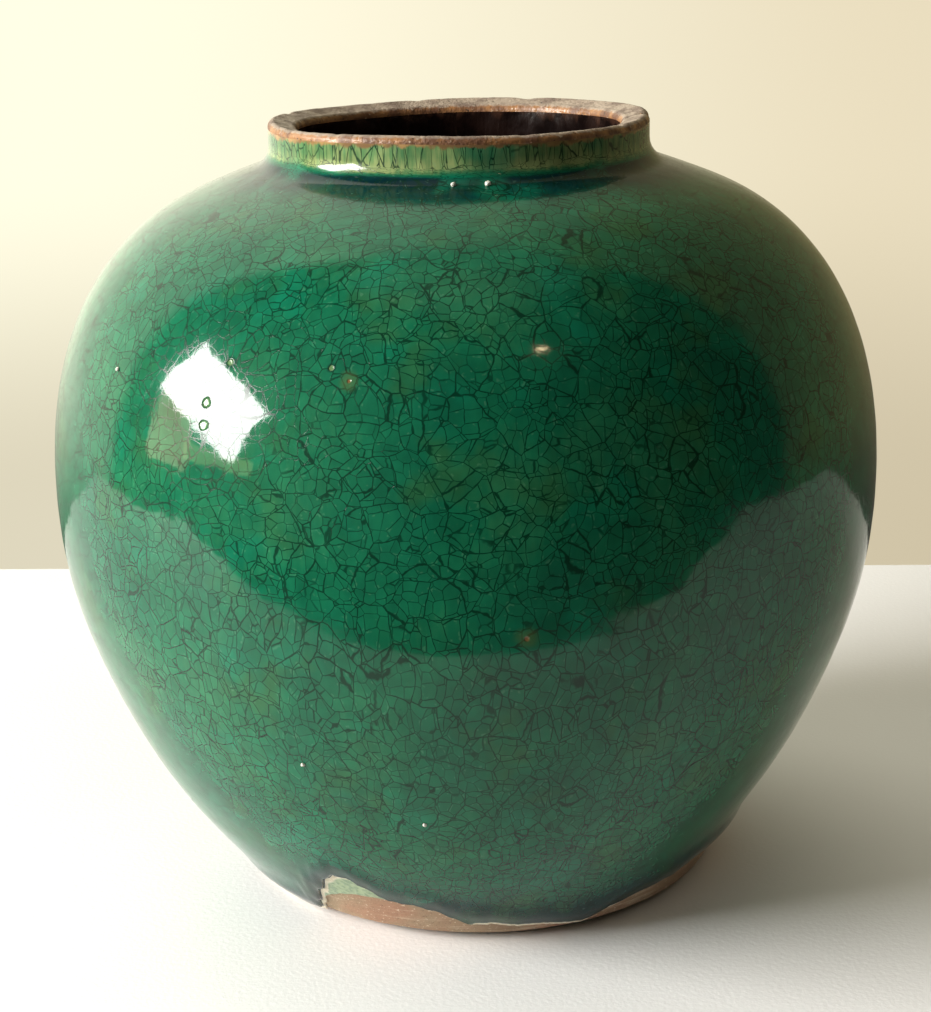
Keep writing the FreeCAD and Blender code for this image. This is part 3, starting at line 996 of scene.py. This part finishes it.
# ---- Room: soft window light and pale walls ------------------------------------
# A big soft window on the left is the key, with two dim patches of colour outside it. A
# cream wall stands behind, a faint haze falls from above and the rest of the room is dim.
def area_light(name, aim, direction, distance, width, height, brightness, colour, lean=0.0):
    """A soft panel that shines at aim from this direction, given by its brightness and its lean."""
    lamp = bpy.data.lights.new(name, "AREA")
    lamp.shape = "RECTANGLE"
    lamp.size = width
    lamp.size_y = height
    lamp.energy = brightness * math.pi * width * height
    lamp.color = colour
    fitting = bpy.data.objects.new(name, lamp)
    away = Vector(direction).normalized()
    fitting.location = Vector(aim) + distance * away
    fitting.rotation_mode = "QUATERNION"
    leaning = Quaternion((0, 0, 1), math.radians(lean))
    fitting.rotation_quaternion = away.to_track_quat("Z", "Y") @ leaning
    fitting.visible_camera = False
    bpy.context.scene.collection.objects.link(fitting)
    return fitting


area_light(
    "window",
    aim=(-0.047, -0.070, 0.124),
    direction=(-0.918, -0.213, 0.335),
    distance=1.4,
    width=0.82,
    height=0.46,
    brightness=40.0,
    colour=(1.0, 0.985, 0.95),
    lean=-18,
)
area_light(
    "brick_wall_outside",
    aim=(-0.050, -0.066, 0.122),
    direction=(-0.982, -0.060, 0.160),
    distance=1.42,
    width=0.36,
    height=0.52,
    brightness=5.0,
    colour=(1.0, 0.72, 0.48),
)
area_light(
    "garden_outside",
    aim=(-0.047, -0.070, 0.118),
    direction=(-0.935, -0.345, 0.080),
    distance=1.42,
    width=0.60,
    height=0.14,
    brightness=4.0,
    colour=(0.80, 0.86, 0.36),
)
overhead = area_light(
    "overhead_haze",
    aim=(0, 0, 0),
    direction=(0.30, -0.30, 0.90),
    distance=1.8,
    width=1.4,
    height=1.4,
    brightness=0.62,
    colour=(1.0, 0.95, 0.88),
)
overhead.visible_glossy = False
area_light(
    "warm_lamp",
    aim=(0.013, -0.078, 0.133),
    direction=(0.313, -0.571, 0.759),
    distance=1.5,
    width=0.035,
    height=0.025,
    brightness=80.0,
    colour=(1.0, 0.72, 0.42),
)

room = bpy.data.worlds.new("room")
bpy.context.scene.world = room
room.use_nodes = True
room.node_tree.nodes.clear()
look = stir(room, "TexCoord").outputs["Generated"]
heading = stir(room, "SeparateXYZ", Vector=look)
east, north, up = heading.outputs
wall_tone = blended(room, fade(room, east, -0.45, 0.35), (1.75, 1.68, 1.35, 1), (0.28, 0.23, 0.11, 1))
front_room = blended(room, fade(room, east, -0.75, -0.1), (0.34, 0.36, 0.32, 1), (0.018, 0.020, 0.016, 1))
ceiling = blended(room, fade(room, east, -0.5, 0.4), (0.62, 0.60, 0.50, 1), (0.22, 0.21, 0.15, 1))
sides = blended(room, fade(room, east, -0.9, -0.4), (0.16, 0.16, 0.13, 1), (0.03, 0.03, 0.02, 1))
around = blended(room, fade(room, north, -0.45, -0.05), front_room, sides)
wall_line = sums(room, "ADD", north, sums(room, "MULTIPLY", east, 0.13))
around = blended(room, fade(room, wall_line, 0.15, 0.27), around, wall_tone)
around = blended(room, fade(room, up, 0.90, 0.99), around, ceiling)
around = blended(room, fade(room, up, -0.05, -0.35), around, (0.06, 0.055, 0.05, 1))
veil = stir(room, "TexNoise", Vector=look, Scale=3.0, Detail=2.0).outputs[0]
seen_wall = blended(room, fade(room, east, -0.20, 0.25), (1.06, 1.02, 0.80, 1), (0.82, 0.72, 0.51, 1))
seen_wall = blended(room, fade(room, up, -0.12, -0.27, 0, 0.62), seen_wall, (0.52, 0.45, 0.31, 1))
seen_wall = blended(room, fade(room, veil, 0.35, 0.65, 0, 0.10), seen_wall, (0.90, 0.86, 0.74, 1))
looked_at = stir(room, "LightPath").outputs["Is Camera Ray"]
room_colour = blended(room, looked_at, around, seen_wall)
background = stir(room, "Background", Color=room_colour, Strength=1.0)
stir(room, "OutputWorld", Surface=background.outputs[0])
bpy.context.scene.view_settings.view_transform = "Standard"


# ---- Camera ---------------------------------------------------------------------
# It stands a forearm's length in front of the jar, looks down on it and leans a little.
LOOKS_DOWN = 16.70
LEANS = -1.265
camera_data = bpy.data.cameras.new("camera")
camera_data.sensor_width = 36
camera_data.lens = 72.72
camera = bpy.data.objects.new("camera", camera_data)
camera.matrix_world = (
    Matrix.Translation((-0.0003, -0.440, 0.21277))
    @ Matrix.Rotation(math.radians(90 - LOOKS_DOWN), 4, "X")
    @ Matrix.Rotation(math.radians(LEANS), 4, "Z")
)
bpy.context.scene.collection.objects.link(camera)
bpy.context.scene.camera = camera
